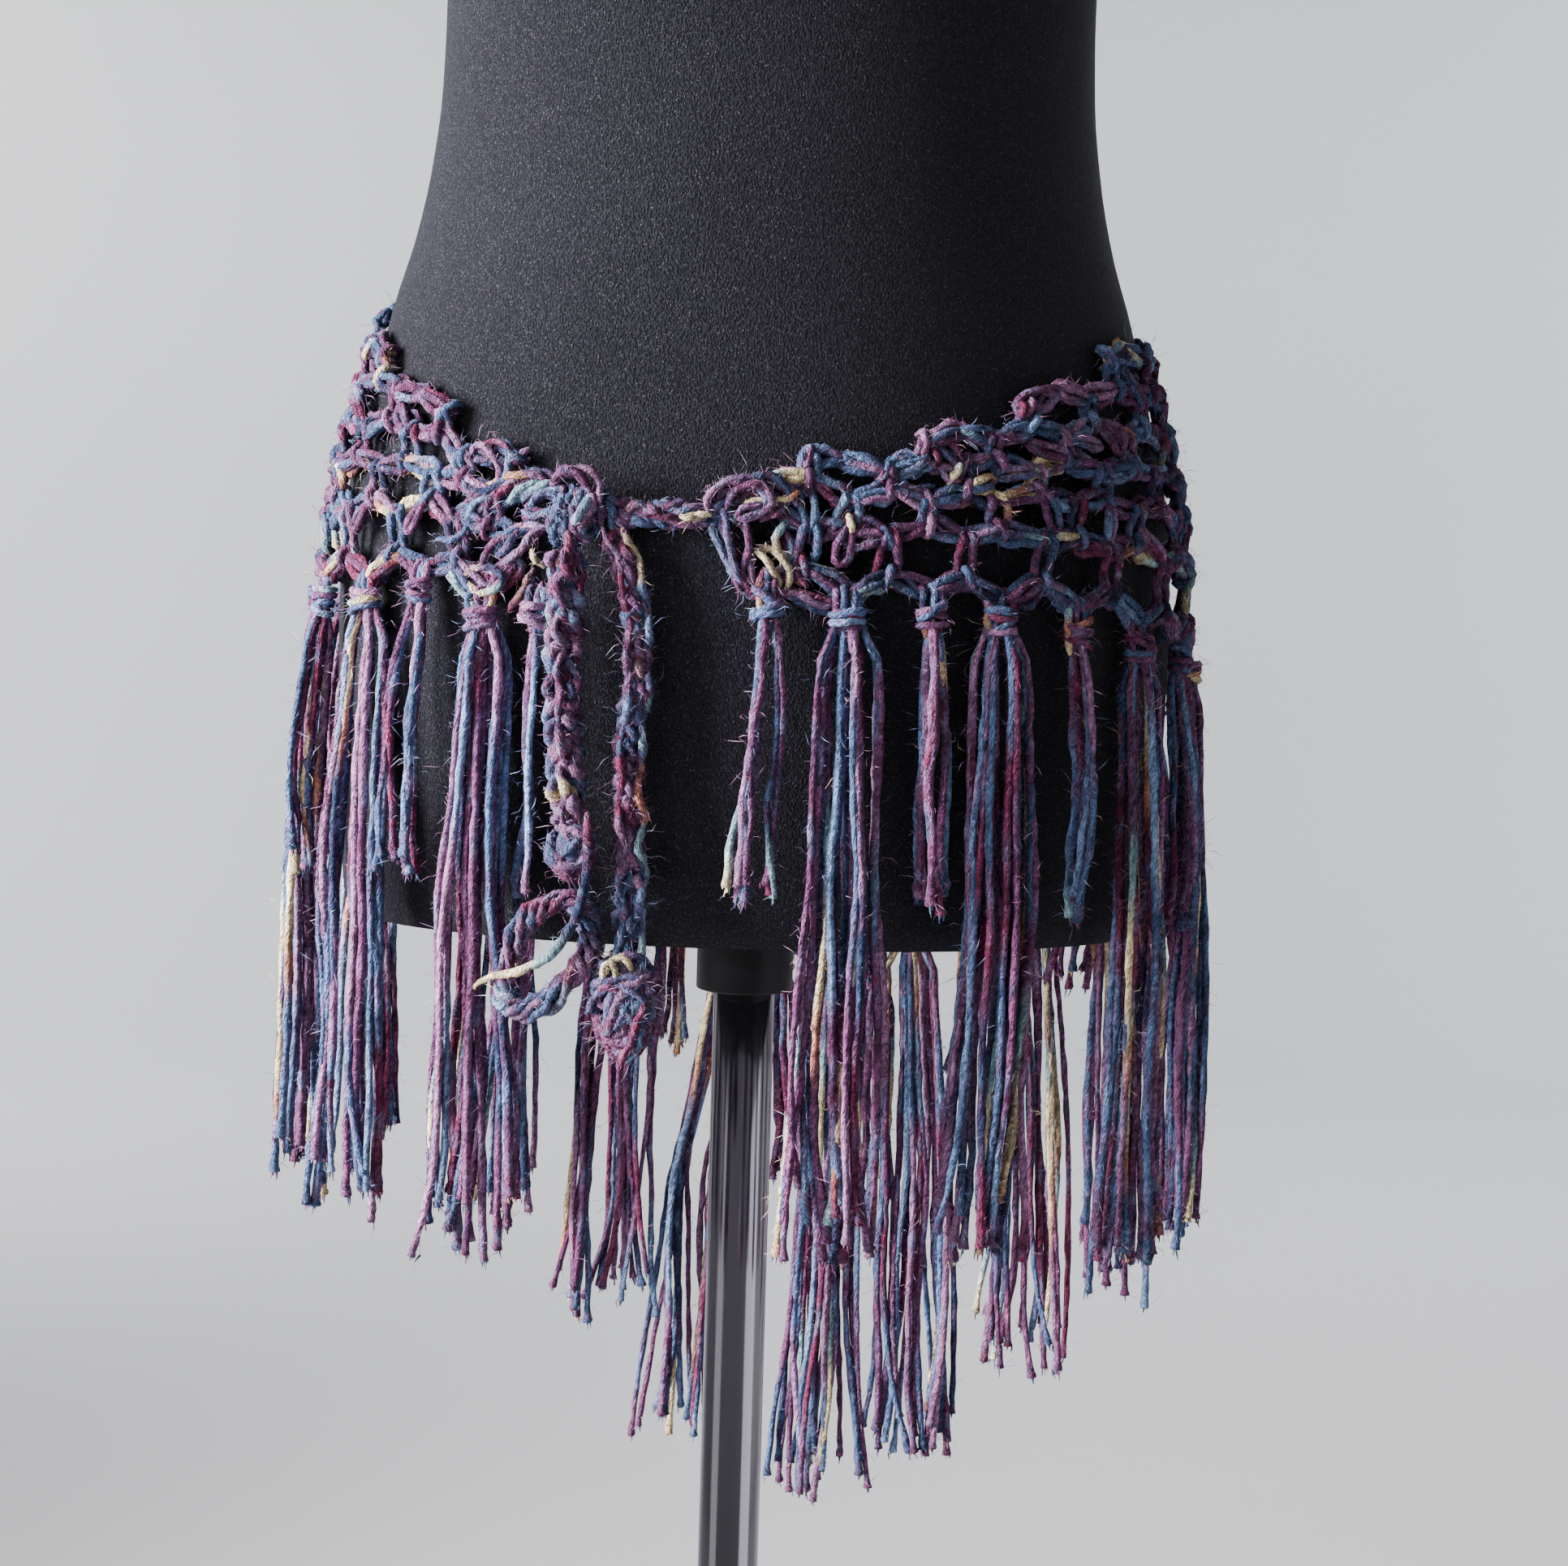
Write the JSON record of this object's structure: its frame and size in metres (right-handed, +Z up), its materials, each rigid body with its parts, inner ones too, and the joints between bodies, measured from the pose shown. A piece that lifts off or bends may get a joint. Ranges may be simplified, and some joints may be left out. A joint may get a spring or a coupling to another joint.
{
  "type": "crocheted hip belt on a limbless dress form with stand",
  "caption": "Open-mesh crocheted triangular hip belt with a long tassel fringe, tied at the front on a limbless dress form that stands on a pole and round base.",
  "frame": {"origin": "centre of the stand's round base, on the floor", "axes": "+Z up along the pole, the form's front faces -Y, +X to the right as seen from the front"},
  "size_m": [0.3838, 0.35, 1.549],
  "materials": {
    "jersey_black": "fine black jersey cover, matt with a soft sheen",
    "chrome": "polished chrome",
    "collar_black": "satin black",
    "yarn_plum": "fluffy single-ply yarn, plum",
    "yarn_denim": "fluffy single-ply yarn, slate blue",
    "yarn_wine": "fluffy single-ply yarn, wine red"
  },
  "bodies": {
    "root": {"dress_form": "jersey_black", "net_left": "yarn_plum", "net_right": "yarn_plum", "stand_base": "chrome", "stand_collar": "collar_black", "stand_pole": "chrome", "tail_knot_left": "yarn_plum", "tail_knot_right": "yarn_denim", "tail_loop": "yarn_denim", "tassel_back": "yarn_plum", "tassel_l01": "yarn_wine", "tassel_l02": "yarn_plum", "tassel_l04": "yarn_denim", "tassel_l05": "yarn_wine", "tassel_l07": "yarn_plum", "tassel_l08": "yarn_denim", "tassel_l10": "yarn_wine", "tassel_l13": "yarn_plum", "tassel_l15": "yarn_denim", "tassel_l17": "yarn_wine", "tassel_l19": "yarn_plum", "tassel_l21": "yarn_denim", "tassel_l23": "yarn_wine", "tassel_l25": "yarn_plum", "tassel_l27": "yarn_denim", "tassel_r01": "yarn_denim", "tassel_r02": "yarn_wine", "tassel_r04": "yarn_plum", "tassel_r05": "yarn_denim", "tassel_r07": "yarn_wine", "tassel_r08": "yarn_plum", "tassel_r10": "yarn_denim", "tassel_r13": "yarn_wine", "tassel_r15": "yarn_plum", "tassel_r17": "yarn_denim", "tassel_r19": "yarn_wine", "tassel_r21": "yarn_plum", "tassel_r23": "yarn_denim", "tassel_r25": "yarn_wine", "tassel_r27": "yarn_plum", "tie_bridge": "yarn_plum", "tie_tail_left": "yarn_denim", "tie_tail_right": "yarn_plum", "tie_wrap": "yarn_denim"}
  },
  "joints": []
}
